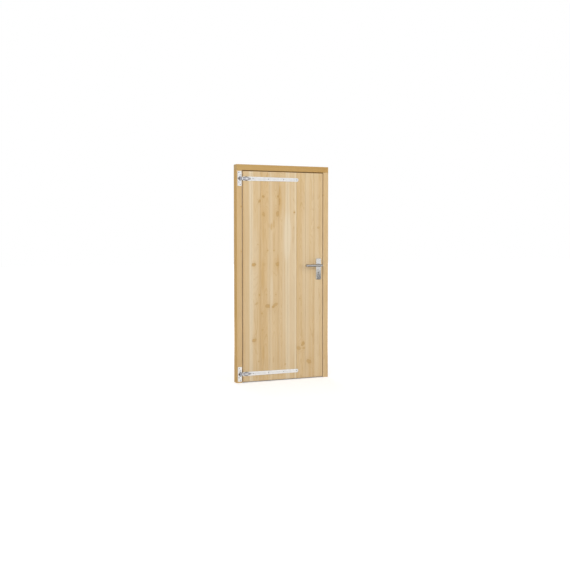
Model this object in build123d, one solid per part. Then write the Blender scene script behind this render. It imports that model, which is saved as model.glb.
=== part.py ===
"""Boarded timber door in its frame: nine upright tongued boards on a rear frame of stiles, rails and
braces, hung on two long cross hinges and closed by a lever lock.

Millimetres, +Z up. X runs from the hinge side to the latch side and Y from the outside to the inside.
The origin is on the outer face of the hinge-side jamb, at its foot and half way through its depth.
While it is built, the model has Y = 0 in the plane of the frame's front face.
"""

import os

from build123d import *

# Frame: two jambs that stand on the floor and a head across their tops
frame_width = 955.0
frame_height = 2084.0
frame_depth = 84.0
jamb_face = 54.0
head_face = 55.0
frame_arris = 2.5

# Stop battens behind the leaf, and the low threshold bar
stop_projection = 20.0
threshold_height = 25.0
batten_arris = 2.0

# Clearances round the closed leaf
hinge_gap = 8.0
latch_gap = 7.0
head_gap = 9.0
foot_gap = 10.0
back_gap = 5.0

# Boards
board_count = 9
first_board_trim = 5.5
board_thickness = 18.0
board_spacing = 0.5
tongue_length = 6.5
tongue_thickness = 5.6
tongue_clearance = 0.2
groove_spare_depth = 1.0
joint_chamfer = 2.0

# Rear frame of the leaf
rear_thickness = 27.0
stile_width = 95.0
top_rail_width = 95.0
middle_rail_width = 120.0
bottom_rail_width = 120.0
brace_width = 90.0
rear_arris = 2.0

# Cross hinges
upper_hinge_drop = 135.0
lower_hinge_rise = 84.5
pin_inset = 20.5
pin_radius = 5.0
pin_head_clearance = 0.1
pin_head_height = 2.0
running_clearance = 0.06
knuckle_height = 22.0
knuckle_wall = 3.5
knuckle_end_clearance = 1.0
knuckle_lift = 0.5
lug_height = 9.0
lug_wall = 3.0
hinge_plate_height = 140.0
hinge_plate_width = 40.0
hinge_plate_thickness = 3.0
hinge_plate_edge = 8.5
hinge_plate_corner = 5.0
hinge_plate_web = 5.0
plate_hole_near = 34.0
plate_hole_far = 56.0
plate_hole_stagger = 7.0
strap_reach = 600.0
strap_thickness = 4.0
strap_root_height = 40.0
strap_tip_height = 34.0
strap_flare_start = 20.0
strap_flare_end = 30.0
strap_shoulder_radius = 4.0
strap_edge = 0.6
strap_first_hole = 130.0
strap_hole_pitch = 157.0
strap_pitched_holes = 3
strap_tip_hole_inset = 18.0
screw_hole_radius = 2.75
screw_sink_radius = 5.2

# Spade end of the strap, where the rolled bar comes back over itself
spade_thickness = 3.5
spade_neck_height = 18.0
spade_seat = 24.0
spade_shoulder = 42.0
spade_widest = 64.0
spade_height = 39.0
spade_waist = 88.0
spade_waist_height = 15.0
spade_end = 112.0
spade_end_height = 8.0
spade_bevel = 2.8

# Carriage bolt through each spade
bolt_radius = 4.0
bolt_hole_clearance = 0.3
bolt_head_radius = 10.0
bolt_head_height = 5.0
washer_radius = 12.0
washer_thickness = 2.0
nut_across_flats = 13.0
nut_height = 6.5

# Lock, its plates and its levers
backset = 45.0
spindle_height = 1116.0
cylinder_drop = 72.0
lock_plate_height = 208.0
lock_plate_width = 52.0
lock_plate_thickness = 8.0
lock_plate_rise = 68.0
lock_plate_corner = 6.0
lock_plate_edge = 2.5
collar_wall = 4.0
collar_height = 2.0
lever_diameter = 26.0
lever_projection = 60.0
lever_length = 160.0
lever_end_round = 2.0
lever_root_depth = 7.0
lever_hole_clearance = 0.25
spindle_size = 8.0
spindle_grip = 26.0
spindle_clearance = 0.1
follower_clearance = 0.4
cylinder_radius = 8.5
cylinder_leg_width = 10.0
cylinder_overall = 33.0
cylinder_projection = 1.5
cylinder_clearance = 0.25
key_slot_width = 3.2
key_slot_height = 9.5
key_slot_depth = 12.0
plug_radius = 6.6
plug_groove = 0.7
lock_case_height = 165.0
lock_case_thickness = 16.0
lock_case_back = 22.0
lock_case_below = 50.0
lock_case_clearance = 0.4
lock_case_cover = 2.5
faceplate_height = 235.0
faceplate_width = 20.0
faceplate_thickness = 3.0
bolt_pocket_clearance = 0.2
bolt_length = 30.0
latch_drop = 18.0
latch_height = 18.0
latch_width = 12.0
latch_bevel = 8.0
dead_bolt_drop = 32.0
dead_bolt_height = 30.0
dead_bolt_width = 13.0

# Strike plate in the latch jamb
strike_height = 200.0
strike_width = 26.0
strike_thickness = 2.0
strike_margin = 3.0
strike_screw_inset = 12.0
socket_depth = 18.0

# Places that follow from the sizes above
leaf_thickness = board_thickness + rear_thickness
rebate_depth = leaf_thickness + back_gap
jamb_height = frame_height - head_face
leaf_left = jamb_face + hinge_gap
leaf_right = frame_width - jamb_face - latch_gap
leaf_bottom = foot_gap
leaf_top = jamb_height - head_gap
board_cover = (leaf_right - leaf_left + first_board_trim) / board_count
opening_left = jamb_face + stop_projection
opening_right = frame_width - jamb_face - stop_projection
rails_left = leaf_left + stile_width
rails_right = leaf_right - stile_width
upper_hinge_z = frame_height - upper_hinge_drop
lower_hinge_z = lower_hinge_rise
pin_x = jamb_face - pin_inset
knuckle_radius = pin_radius + knuckle_wall
pin_y = -(knuckle_radius + knuckle_lift)
pin_head_radius = -pin_y - hinge_plate_thickness - pin_head_clearance
pin_bore_radius = pin_radius + running_clearance
window_half = knuckle_height / 2 + knuckle_end_clearance
hinge_bolt_x = pin_x + spade_widest
lock_x = leaf_right - backset
cylinder_z = spindle_height - cylinder_drop
lock_case_y = board_thickness + lock_case_cover + lock_case_thickness / 2
latch_z = spindle_height - latch_drop
dead_bolt_z = cylinder_z - dead_bolt_drop
lock_case_bottom = cylinder_z - lock_case_below
faceplate_centre = lock_case_bottom + lock_case_height / 2
middle_rail_centre = faceplate_centre


def slab(x, y, z):
    """A block between two limits on each axis."""
    size = [high - low for low, high in (x, y, z)]
    centre = [(high + low) / 2 for low, high in (x, y, z)]
    return Pos(*centre) * Box(*size)


def across(radius, x, y, z):
    """A round bar along Y at x and z, between two limits in Y."""
    length = y[1] - y[0]
    return Pos(x, (y[0] + y[1]) / 2, z) * Rot(90, 0, 0) * Cylinder(radius, length)


def upright(radius, x, y, z):
    """A round bar along Z at x and y, between two limits in Z."""
    return Pos(x, y, (z[0] + z[1]) / 2) * Cylinder(radius, z[1] - z[0])


def from_front(outline, y_front, thickness):
    """A plate whose outline is drawn in X and Z, from its front plane back."""
    return extrude(Pos(0, y_front, 0) * outline, thickness, dir=(0, 1, 0))


def xz_polygon(points):
    """A face in the XZ plane through the given x and z."""
    return make_face(Polyline([(x, 0, z) for x, z in points], close=True))


def countersunk(x, z, front, thickness):
    """The space of a countersunk screw put in from the front."""
    sink = screw_sink_radius - screw_hole_radius
    cone = Pos(x, front + sink / 2, z) * Rot(90, 0, 0) * Cone(screw_hole_radius, screw_sink_radius, sink)
    return cone + across(screw_hole_radius, x, (front, front + thickness), z)


def to_inside(piece):
    """The same piece on the inside face of the leaf."""
    return mirror(piece, about=Plane(origin=(0, leaf_thickness / 2, 0), z_dir=(0, 1, 0)))


def lock_openings(piece, slack):
    """Takes the lever's and the cylinder's passages out of a timber or a plate."""
    spindle_way = across(
        lever_diameter / 2 + slack, lock_x, (-frame_depth, 2 * frame_depth), spindle_height
    )
    return piece - spindle_way - cylinder_bar((-frame_depth, 2 * frame_depth), slack)


def cylinder_bar(y, slack=0.0):
    """A bar of the lock cylinder's profile: a round barrel over a narrow leg."""
    barrel = across(cylinder_radius + slack, lock_x, y, cylinder_z)
    half = cylinder_leg_width / 2
    low = cylinder_z + cylinder_radius - cylinder_overall + half
    leg = slab((lock_x - half - slack, lock_x + half + slack), y, (low, cylinder_z))
    return barrel + leg + across(half + slack, lock_x, y, low)


def hinge_jamb():
    body = slab((0, jamb_face), (0, frame_depth), (0, jamb_height))
    front = body.faces().sort_by(Axis.Y)[0]
    return fillet(front.edges().filter_by(Axis.Z), frame_arris)


def latch_jamb():
    inner = frame_width - jamb_face
    body = slab((inner, frame_width), (0, frame_depth), (0, jamb_height))
    front = body.faces().sort_by(Axis.Y)[0]
    body = fillet(front.edges().filter_by(Axis.Z), frame_arris)
    body -= strike_outline((inner, inner + strike_thickness))
    for z, height, width in bolt_openings():
        body -= slab(
            (inner, inner + strike_thickness + socket_depth),
            (lock_case_y - width / 2, lock_case_y + width / 2),
            (z - height / 2, z + height / 2),
        )
    return body


def head():
    body = slab((0, frame_width), (0, frame_depth), (jamb_height, frame_height))
    front = body.faces().sort_by(Axis.Y)[0]
    return fillet(front.edges(), frame_arris)


def threshold():
    body = slab(
        (jamb_face, frame_width - jamb_face), (rebate_depth, frame_depth), (0, threshold_height)
    )
    top = body.faces().sort_by(Axis.Z)[-1]
    return fillet(top.edges().filter_by(Axis.X), batten_arris)


def side_stop(left):
    """An upright batten on a jamb, from the threshold to the head stop."""
    body = slab(
        (left, left + stop_projection),
        (rebate_depth, frame_depth),
        (threshold_height, jamb_height - stop_projection),
    )
    edges = body.edges().filter_by(Axis.Z)
    free = edges.sort_by(Axis.X)[-2:] if left == jamb_face else edges.sort_by(Axis.X)[:2]
    return fillet(free, batten_arris)


def head_stop():
    body = slab(
        (jamb_face, frame_width - jamb_face),
        (rebate_depth, frame_depth),
        (jamb_height - stop_projection, jamb_height),
    )
    bottom = body.faces().sort_by(Axis.Z)[0]
    return fillet(bottom.edges().filter_by(Axis.X), batten_arris)


def bolt_openings():
    """Height, and the two sizes, of the openings for the latch and the dead bolt."""
    return (
        (latch_z, latch_height + 2 * strike_margin, latch_width + 2 * strike_margin),
        (dead_bolt_z, dead_bolt_height + 2 * strike_margin, dead_bolt_width + 2 * strike_margin),
    )


def strike_outline(x):
    return slab(
        x,
        (lock_case_y - strike_width / 2, lock_case_y + strike_width / 2),
        (faceplate_centre - strike_height / 2, faceplate_centre + strike_height / 2),
    )


def strike_plate():
    inner = frame_width - jamb_face
    plate = strike_outline((inner, inner + strike_thickness))
    for z, height, width in bolt_openings():
        plate -= slab(
            (inner, inner + strike_thickness),
            (lock_case_y - width / 2, lock_case_y + width / 2),
            (z - height / 2, z + height / 2),
        )
    for side in (-1, 1):
        z = faceplate_centre + side * (strike_height / 2 - strike_screw_inset)
        hole = Cylinder(screw_hole_radius, strike_thickness)
        plate -= Pos(inner + strike_thickness / 2, lock_case_y, z) * Rot(0, 90, 0) * hole
    return plate


def board_limits(index):
    """Left and right edge of a board's face. Neighbours lie a small space apart."""
    right = leaf_right - (board_count - 1 - index) * board_cover
    left = right - board_cover + board_spacing / 2 if index > 0 else leaf_left
    return left, right - board_spacing / 2 if index < board_count - 1 else right


def board(index):
    """One upright board, with a groove on its left, a tongue on its right and chamfered front edges."""
    left, right = board_limits(index)
    tongue = (
        (board_thickness - tongue_thickness) / 2,
        (board_thickness + tongue_thickness) / 2,
    )
    groove_depth = tongue_length + groove_spare_depth
    points = [(left + joint_chamfer, 0), (right - joint_chamfer, 0), (right, joint_chamfer)]
    if index < board_count - 1:
        tongue_end = right + board_spacing + tongue_length
        points += [(right, tongue[0]), (tongue_end, tongue[0])]
        points += [(tongue_end, tongue[1]), (right, tongue[1])]
    points += [(right, board_thickness), (left, board_thickness)]
    if index > 0:
        groove = (tongue[0] - tongue_clearance, tongue[1] + tongue_clearance)
        points += [(left, groove[1]), (left + groove_depth, groove[1])]
        points += [(left + groove_depth, groove[0]), (left, groove[0])]
    points += [(left, joint_chamfer)]
    profile = Pos(0, 0, leaf_bottom) * make_face(Polyline(points, close=True))
    return extrude(profile, leaf_top - leaf_bottom, dir=(0, 0, 1))


def bolt_holes(piece):
    """Takes the carriage bolts' holes out of a board or a stile."""
    for z in (upper_hinge_z, lower_hinge_z):
        piece -= across(bolt_radius + bolt_hole_clearance, hinge_bolt_x, (0, leaf_thickness), z)
    return piece


def rear_member(x, z, along):
    """A stile or a rail of the rear frame, its long rear edges eased."""
    body = slab(x, (board_thickness, leaf_thickness), z)
    rear = body.faces().sort_by(Axis.Y)[-1]
    return chamfer(rear.edges().filter_by(along), rear_arris)


def lock_stile():
    body = rear_member((rails_right, leaf_right), (leaf_bottom, leaf_top), Axis.Z)
    case = lock_case_block(lock_case_clearance)
    return lock_openings(body, follower_clearance) - case


def brace(bottom, top):
    """A diagonal from the foot of the hinge side to the head of the latch side of one bay."""
    width, height = rails_right - rails_left, top - bottom
    bay = slab((rails_left, rails_right), (board_thickness, leaf_thickness), (bottom, top))
    slope = Vector(1, 0, 0).get_angle(Vector(width, 0, height))
    bar = Box(2 * (width + height), rear_thickness, brace_width)
    long_edges = bar.faces().sort_by(Axis.Y)[-1].edges().filter_by(Axis.X)
    bar = chamfer(long_edges, rear_arris)
    centre = ((rails_left + rails_right) / 2, board_thickness + rear_thickness / 2, (bottom + top) / 2)
    return (Pos(*centre) * Rot(0, -slope, 0) * bar) & bay


def hinge_plate(z):
    """The upright plate on the jamb, its window for the knuckle and its two lugs round the pin."""
    left = hinge_plate_edge
    right = left + hinge_plate_width
    low, high = z - hinge_plate_height / 2, z + hinge_plate_height / 2
    plate = slab((left, right), (-hinge_plate_thickness, 0), (low, high))
    plate = fillet(plate.edges().filter_by(Axis.Y), hinge_plate_corner)
    window_start = left + hinge_plate_web + window_half
    depth = (-hinge_plate_thickness, 0)
    plate -= slab((window_start, right), depth, (z - window_half, z + window_half))
    plate -= across(window_half, window_start, depth, z)
    for side in (-1, 1):
        near, far = z + side * window_half, z + side * (window_half + lug_height)
        lug_z = (min(near, far), max(near, far))
        plate += upright(pin_radius + lug_wall, pin_x, pin_y, lug_z)
        plate += slab(
            (pin_x - pin_radius, pin_x + pin_radius + lug_wall),
            (pin_y + pin_radius, 0),
            lug_z,
        )
    plate -= upright(pin_bore_radius, pin_x, pin_y, (low, high))
    centre = (left + right) / 2
    holes = (
        (-plate_hole_stagger, plate_hole_far),
        (plate_hole_stagger, plate_hole_near),
        (-plate_hole_stagger, -plate_hole_near),
        (plate_hole_stagger, -plate_hole_far),
    )
    for across_plate, up in holes:
        plate -= countersunk(centre + across_plate, z + up, -hinge_plate_thickness, hinge_plate_thickness)
    return plate


def hinge_pin(z):
    """The hinge pin, headed over at both ends of the lugs."""
    half = window_half + lug_height
    pin = upright(pin_radius, pin_x, pin_y, (z - half, z + half))
    for side in (-1, 1):
        near, far = z + side * half, z + side * (half + pin_head_height)
        pin += upright(pin_head_radius, pin_x, pin_y, (min(near, far), max(near, far)))
    return pin


def strap_outline(z):
    """Front outline of the long bar: a neck, a flare, a taper and a round end."""
    neck, root, tip = knuckle_height / 2, strap_root_height / 2, strap_tip_height / 2
    end = pin_x + strap_reach - tip
    flare_start, flare_end = pin_x + strap_flare_start, pin_x + strap_flare_end
    upper = [(pin_x, neck), (flare_start, neck), (flare_end, root), (end, tip)]
    edge = [(x, 0, z + height) for x, height in upper]
    back = [(x, 0, z - height) for x, height in reversed(upper)]
    outline = Polyline(edge) + ThreePointArc(edge[-1], (end + tip, 0, z), back[0])
    return make_face(outline + Polyline(back + [edge[0]]))


def spade_outline(z):
    """Front outline of the bar where it comes back over the strap: neck, diamond and tail."""
    upper = [
        (pin_x, knuckle_height / 2),
        (pin_x + spade_seat, spade_neck_height / 2),
        (pin_x + spade_shoulder, spade_neck_height / 2 + spade_thickness),
        (pin_x + spade_widest, spade_height / 2),
        (pin_x + spade_waist, spade_waist_height / 2),
        (pin_x + spade_end, spade_end_height / 2),
    ]
    lower = [(x, -height) for x, height in reversed(upper)]
    return xz_polygon([(x, z + height) for x, height in upper + lower])


def hinge_strap(z):
    """The moving half of the hinge: a bar rolled round the pin and bolted back on itself."""
    bar = from_front(strap_outline(z), -strap_thickness, strap_thickness)
    shoulders = bar.edges().filter_by(Axis.Y).filter_by_position(
        Axis.X, pin_x + strap_flare_start + 1, pin_x + strap_flare_end + 1
    )
    bar = fillet(shoulders, strap_shoulder_radius)
    front = bar.faces().sort_by(Axis.Y)[0]
    bar = chamfer(front.edges().filter_by_position(Axis.X, pin_x + 1, frame_width), strap_edge)
    bar -= slab((0, leaf_left), (-knuckle_lift, 0), (z - knuckle_height, z + knuckle_height))
    for x in strap_hole_places():
        bar -= countersunk(x, z, -strap_thickness, strap_thickness)
    roll_front = pin_y - knuckle_radius
    seat_front = -strap_thickness - spade_thickness
    sloped = [
        (pin_x, roll_front),
        (pin_x + spade_seat, seat_front),
        (pin_x + spade_end, seat_front),
        (pin_x + spade_end, -strap_thickness),
        (pin_x + spade_seat, -strap_thickness),
        (pin_x, roll_front + knuckle_wall),
    ]
    side_view = Pos(0, 0, z - spade_height) * make_face(Polyline(sloped, close=True))
    spade = extrude(side_view, 2 * spade_height, dir=(0, 0, 1))
    spade &= from_front(spade_outline(z), roll_front, -roll_front)
    face = spade.faces().filter_by(Axis.Y).sort_by(Axis.Y)[0]
    diamond_edges = face.edges().filter_by(Axis.Z, reverse=True)
    spade = chamfer(diamond_edges, spade_bevel)
    half = knuckle_height / 2
    roll = upright(knuckle_radius, pin_x, pin_y, (z - half, z + half))
    strap = bar + spade + roll
    strap -= upright(pin_bore_radius, pin_x, pin_y, (z - knuckle_height, z + knuckle_height))
    strap -= across(bolt_radius + bolt_hole_clearance, hinge_bolt_x, (seat_front, 0), z)
    return strap


def strap_hole_places():
    """Where the screws go through the strap."""
    places = [pin_x + strap_first_hole + i * strap_hole_pitch for i in range(strap_pitched_holes)]
    return places + [pin_x + strap_reach - strap_tip_hole_inset]


def hinge_bolt(z):
    """Carriage bolt from the spade through the leaf, with its washer and nut behind."""
    seat = -strap_thickness - spade_thickness
    round_radius = (bolt_head_radius**2 + bolt_head_height**2) / (2 * bolt_head_height)
    dome = Pos(hinge_bolt_x, seat - bolt_head_height + round_radius, z) * Sphere(round_radius)
    head_space = across(bolt_head_radius, hinge_bolt_x, (seat - bolt_head_height, seat), z)
    nut_start = leaf_thickness + washer_thickness
    nut_outline = Pos(hinge_bolt_x, nut_start, z) * Rot(90, 0, 0)
    nut_outline *= RegularPolygon(nut_across_flats / 2, 6, major_radius=False)
    bolt = dome & head_space
    bolt += across(bolt_radius, hinge_bolt_x, (seat, nut_start + nut_height + 3), z)
    bolt += across(washer_radius, hinge_bolt_x, (leaf_thickness, nut_start), z)
    return bolt + extrude(nut_outline, nut_height, dir=(0, 1, 0))


def lock_plate():
    """Outside plate of the lock, pierced for the lever and the cylinder."""
    top = spindle_height + lock_plate_rise
    plate = slab(
        (lock_x - lock_plate_width / 2, lock_x + lock_plate_width / 2),
        (-lock_plate_thickness, 0),
        (top - lock_plate_height, top),
    )
    plate = fillet(plate.edges().filter_by(Axis.Y), lock_plate_corner)
    plate = fillet(plate.faces().sort_by(Axis.Y)[0].edges(), lock_plate_edge)
    collar = across(
        lever_diameter / 2 + collar_wall,
        lock_x,
        (-lock_plate_thickness - collar_height, -lock_plate_thickness),
        spindle_height,
    )
    collar = chamfer(collar.faces().sort_by(Axis.Y)[0].edges(), collar_height / 2)
    return lock_openings(plate + collar, lever_hole_clearance)


def lever():
    """Outside lever: round bar, mitred square at the elbow, that runs towards the hinges."""
    root = -lock_plate_thickness + lever_root_depth
    path = Polyline(
        (lock_x, root, spindle_height),
        (lock_x, -lever_projection, spindle_height),
        (lock_x - lever_length, -lever_projection, spindle_height),
    )
    section = Plane(origin=path @ 0, z_dir=path % 0) * Circle(lever_diameter / 2)
    bar = sweep(section, path=path, transition=Transition.RIGHT)
    tip = bar.faces().filter_by(Axis.X).sort_by(Axis.X)[0]
    bar = fillet(tip.edges(), lever_end_round)
    side = spindle_size / 2 + spindle_clearance
    socket = slab(
        (lock_x - side, lock_x + side),
        (root - spindle_grip - 2 * spindle_clearance, root),
        (spindle_height - side, spindle_height + side),
    )
    return bar - socket


def spindle():
    half = spindle_size / 2
    reach = lock_plate_thickness - lever_root_depth + spindle_grip
    return slab(
        (lock_x - half, lock_x + half),
        (-reach, leaf_thickness + reach),
        (spindle_height - half, spindle_height + half),
    )


def lock_cylinder():
    """Profile cylinder through the leaf, with a plug and a key slot at each end."""
    ends = (
        -lock_plate_thickness - cylinder_projection,
        leaf_thickness + lock_plate_thickness + cylinder_projection,
    )
    body = cylinder_bar(ends)
    for face, inward in zip(ends, (1, -1)):
        slot_y = sorted((face, face + inward * key_slot_depth))
        groove_y = sorted((face, face + inward * plug_groove))
        body -= slab(
            (lock_x - key_slot_width / 2, lock_x + key_slot_width / 2),
            slot_y,
            (cylinder_z - key_slot_height / 2, cylinder_z + key_slot_height / 2),
        )
        ring = across(plug_radius, lock_x, groove_y, cylinder_z)
        body -= ring - across(plug_radius - plug_groove, lock_x, groove_y, cylinder_z)
    return body


def lock_case_block(slack):
    """The lock case and its faceplate as plain blocks, grown by the slack on the hidden faces."""
    half = lock_case_thickness / 2 + slack
    case = slab(
        (lock_x - lock_case_back - slack, leaf_right),
        (lock_case_y - half, lock_case_y + half),
        (lock_case_bottom - slack, lock_case_bottom + lock_case_height + slack),
    )
    return case + slab(
        (leaf_right - faceplate_thickness, leaf_right),
        (lock_case_y - faceplate_width / 2, lock_case_y + faceplate_width / 2),
        (faceplate_centre - faceplate_height / 2, faceplate_centre + faceplate_height / 2),
    )


def bolt_block(z, width, height, slack=0.0):
    """A lock bolt drawn back until its end is flush with the faceplate."""
    return slab(
        (leaf_right - bolt_length - slack, leaf_right),
        (lock_case_y - width / 2 - slack, lock_case_y + width / 2 + slack),
        (z - height / 2 - slack, z + height / 2 + slack),
    )


def lock_case():
    case = lock_case_block(0)
    case -= bolt_block(latch_z, latch_width, latch_height, bolt_pocket_clearance)
    case -= bolt_block(dead_bolt_z, dead_bolt_width, dead_bolt_height, bolt_pocket_clearance)
    follower = spindle_size / 2**0.5 + follower_clearance
    case -= across(follower, lock_x, (0, leaf_thickness), spindle_height)
    return case - cylinder_bar((0, leaf_thickness), cylinder_clearance)


def latch_bolt():
    """The spring latch, bevelled on the side that meets the strike as the leaf closes."""
    block = bolt_block(latch_z, latch_width, latch_height)
    corner = block.edges().filter_by(Axis.Z).sort_by(Axis.X)[-2:].sort_by(Axis.Y)[-1]
    return chamfer(corner, latch_bevel)


def dead_bolt():
    return bolt_block(dead_bolt_z, dead_bolt_width, dead_bolt_height)


def hinge_nodes():
    """Plate, pin, strap and bolt of each hinge."""
    nodes = {}
    for place, z in (("upper", upper_hinge_z), ("lower", lower_hinge_z)):
        nodes[f"{place}_hinge_plate"] = hinge_plate(z)
        nodes[f"{place}_hinge_pin"] = hinge_pin(z)
        nodes[f"{place}_hinge_strap"] = hinge_strap(z)
        nodes[f"{place}_hinge_bolt"] = hinge_bolt(z)
    return nodes


def frame_nodes():
    return {
        "hinge_jamb": hinge_jamb(),
        "latch_jamb": latch_jamb(),
        "head": head(),
        "threshold": threshold(),
        "hinge_side_stop": side_stop(jamb_face),
        "latch_side_stop": side_stop(opening_right),
        "head_stop": head_stop(),
        "strike_plate": strike_plate(),
    }


def leaf_nodes():
    """Boards in front, and the stiles, rails and braces behind them."""
    nodes = {f"board_{i + 1}": board(i) for i in range(board_count)}
    nodes["board_1"] = bolt_holes(nodes["board_1"])
    nodes[f"board_{board_count}"] = lock_openings(nodes[f"board_{board_count}"], follower_clearance)
    upright_z = (leaf_bottom, leaf_top)
    rail_x = (rails_left, rails_right)
    bottom_rail_top = leaf_bottom + bottom_rail_width
    middle_low = middle_rail_centre - middle_rail_width / 2
    middle_high = middle_rail_centre + middle_rail_width / 2
    top_rail_low = leaf_top - top_rail_width
    nodes["hinge_stile"] = bolt_holes(rear_member((leaf_left, rails_left), upright_z, Axis.Z))
    nodes["lock_stile"] = lock_stile()
    nodes["top_rail"] = rear_member(rail_x, (top_rail_low, leaf_top), Axis.X)
    nodes["middle_rail"] = rear_member(rail_x, (middle_low, middle_high), Axis.X)
    nodes["bottom_rail"] = rear_member(rail_x, (leaf_bottom, bottom_rail_top), Axis.X)
    nodes["lower_brace"] = brace(bottom_rail_top, middle_low)
    nodes["upper_brace"] = brace(middle_high, top_rail_low)
    return nodes


def lock_nodes():
    return {
        "lock_case": lock_case(),
        "latch_bolt": latch_bolt(),
        "dead_bolt": dead_bolt(),
        "lock_cylinder": lock_cylinder(),
        "outside_lock_plate": lock_plate(),
        "inside_lock_plate": to_inside(lock_plate()),
        "outside_lever": lever(),
        "inside_lever": to_inside(lever()),
        "spindle": spindle(),
    }


os.makedirs("parts", exist_ok=True)
for name, piece in {**frame_nodes(), **leaf_nodes(), **hinge_nodes(), **lock_nodes()}.items():
    export_step(Pos(0, -frame_depth / 2, 0) * piece, f"parts/{name}.step")
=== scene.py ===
"""Looks of the boarded timber door: bare spruce, zinc-plated hinges, steel lever, light and camera."""

import math

import bmesh
import bpy
from mathutils import Matrix, Vector


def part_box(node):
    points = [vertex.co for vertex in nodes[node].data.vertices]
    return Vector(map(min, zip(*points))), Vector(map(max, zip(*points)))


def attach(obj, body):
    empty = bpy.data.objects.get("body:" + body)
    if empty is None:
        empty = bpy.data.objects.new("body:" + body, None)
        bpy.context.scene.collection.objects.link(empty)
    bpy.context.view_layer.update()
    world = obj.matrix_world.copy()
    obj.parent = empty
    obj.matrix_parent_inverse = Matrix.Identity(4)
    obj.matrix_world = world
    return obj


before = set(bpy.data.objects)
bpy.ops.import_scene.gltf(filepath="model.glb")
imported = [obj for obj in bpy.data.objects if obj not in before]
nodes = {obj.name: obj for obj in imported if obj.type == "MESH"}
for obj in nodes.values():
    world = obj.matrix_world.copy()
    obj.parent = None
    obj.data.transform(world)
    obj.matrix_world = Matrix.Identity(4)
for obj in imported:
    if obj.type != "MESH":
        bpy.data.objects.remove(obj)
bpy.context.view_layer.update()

front_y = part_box("board_1")[0][1]


# Node tree helpers

def add(tree, kind, inputs=None, **settings):
    """A shader node with its settings, and its inputs given as values or as sockets to link."""
    node = tree.nodes.new(kind)
    for key, value in settings.items():
        setattr(node, key, value)
    for key, value in (inputs or {}).items():
        socket = node.inputs[key]
        if isinstance(value, bpy.types.NodeSocket):
            tree.links.new(value, socket)
        else:
            socket.default_value = value
    return node


def math_node(tree, operation, a, b=0.0, c=0.0, clamp=False):
    return add(tree, "ShaderNodeMath", {0: a, 1: b, 2: c}, operation=operation, use_clamp=clamp).outputs[0]


def vector_node(tree, operation, a, b=(0.0, 0.0, 0.0)):
    node = add(tree, "ShaderNodeVectorMath", {0: a, 1: b}, operation=operation)
    return node.outputs["Value"] if operation in ("LENGTH", "DOT_PRODUCT") else node.outputs[0]


def noise(tree, vector, scale, detail=3.0, roughness=0.5, distortion=0.0):
    inputs = {"Vector": vector, "Scale": scale, "Detail": detail, "Roughness": roughness,
              "Distortion": distortion}
    return add(tree, "ShaderNodeTexNoise", inputs).outputs["Fac"]


def scaled(tree, vector, scale, offset=(0.0, 0.0, 0.0)):
    moved = add(tree, "ShaderNodeVectorMath", {0: vector, 1: offset}, operation="ADD").outputs[0]
    return add(tree, "ShaderNodeVectorMath", {0: moved, 1: scale}, operation="MULTIPLY").outputs[0]


def span(tree, value, low, high, to_low=0.0, to_high=1.0, smooth=True):
    """Carries a range of a value to another range, clamped, with a smooth or a straight run."""
    inputs = {"Value": value, "From Min": low, "From Max": high, "To Min": to_low, "To Max": to_high}
    kind = "SMOOTHSTEP" if smooth else "LINEAR"
    return add(tree, "ShaderNodeMapRange", inputs, interpolation_type=kind).outputs["Result"]


def blend_colour(tree, factor, a, b, mode="MIX"):
    node = add(tree, "ShaderNodeMix", data_type="RGBA", blend_type=mode)
    for index, value in ((0, factor), (6, a), (7, b)):
        if isinstance(value, bpy.types.NodeSocket):
            tree.links.new(value, node.inputs[index])
        else:
            node.inputs[index].default_value = value
    return node.outputs[2]


def group(name, inputs, outputs):
    """An empty node group with typed sockets; returns the tree, its input node and its output node."""
    tree = bpy.data.node_groups.new(name, "ShaderNodeTree")
    kinds = {"f": "NodeSocketFloat", "v": "NodeSocketVector", "c": "NodeSocketColor"}
    for label, kind in inputs:
        tree.interface.new_socket(label, in_out="INPUT", socket_type=kinds[kind])
    for label, kind in outputs:
        tree.interface.new_socket(label, in_out="OUTPUT", socket_type=kinds[kind])
    return tree, tree.nodes.new("NodeGroupInput"), tree.nodes.new("NodeGroupOutput")


def use_group(tree, which, inputs):
    node = tree.nodes.new("ShaderNodeGroup")
    node.node_tree = which
    for key, value in inputs.items():
        if isinstance(value, bpy.types.NodeSocket):
            tree.links.new(value, node.inputs[key])
        else:
            node.inputs[key].default_value = value
    return node


# Spruce: U runs across the timber's face, V into it and W along its grain, all in metres

early_wood = (0.762, 0.572, 0.330, 1.0)
late_wood = (0.600, 0.385, 0.162, 1.0)
sap_wood = (0.820, 0.682, 0.480, 1.0)
heart_wood = (0.610, 0.370, 0.125, 1.0)
knot_core = (0.605, 0.368, 0.128, 1.0)
knot_rim = (0.400, 0.205, 0.072, 1.0)
knot_halo = (0.650, 0.430, 0.185, 1.0)
ring_width = 0.0034
shade_fade = 0.004


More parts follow.
